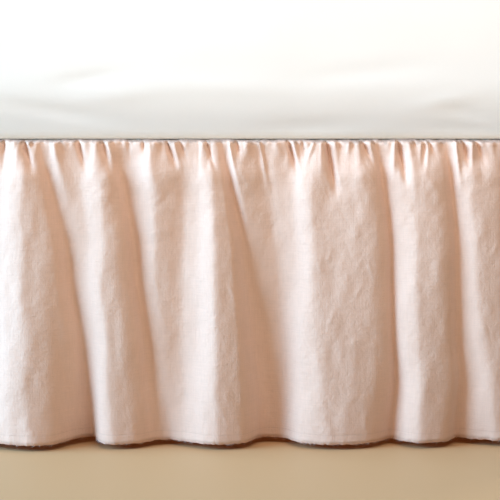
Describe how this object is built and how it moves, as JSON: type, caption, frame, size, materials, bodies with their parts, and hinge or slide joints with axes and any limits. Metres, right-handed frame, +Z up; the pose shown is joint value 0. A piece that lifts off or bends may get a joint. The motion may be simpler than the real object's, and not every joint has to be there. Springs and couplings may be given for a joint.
{
  "type": "bed skirt on a bed",
  "caption": "Gathered linen bed skirt with split corners, hanging in soft folds from its deck over a bed's base, with the mattress on top.",
  "frame": {"origin": "on the floor, under the centre of the whole part", "axes": "+Z up, +Y towards the head end, which has no panel, +X to the right as seen from the foot"},
  "size_m": [1.1097, 1.9784, 0.6943],
  "materials": {
    "skirt_linen": "washed pale pink linen with a raw frayed hem",
    "deck_cotton": "plain cotton",
    "mattress_cotton": "white cotton percale",
    "base_ticking": "plain woven ticking",
    "leg_wood": "oiled beech"
  },
  "bodies": {
    "root": {"skirt_foot": "skirt_linen", "skirt_left": "skirt_linen", "skirt_right": "skirt_linen", "deck": "deck_cotton", "bed_base": "base_ticking", "mattress": "mattress_cotton", "leg_foot_left": "leg_wood", "leg_foot_right": "leg_wood", "leg_middle_left": "leg_wood", "leg_middle_right": "leg_wood", "leg_head_left": "leg_wood", "leg_head_right": "leg_wood"}
  },
  "joints": []
}
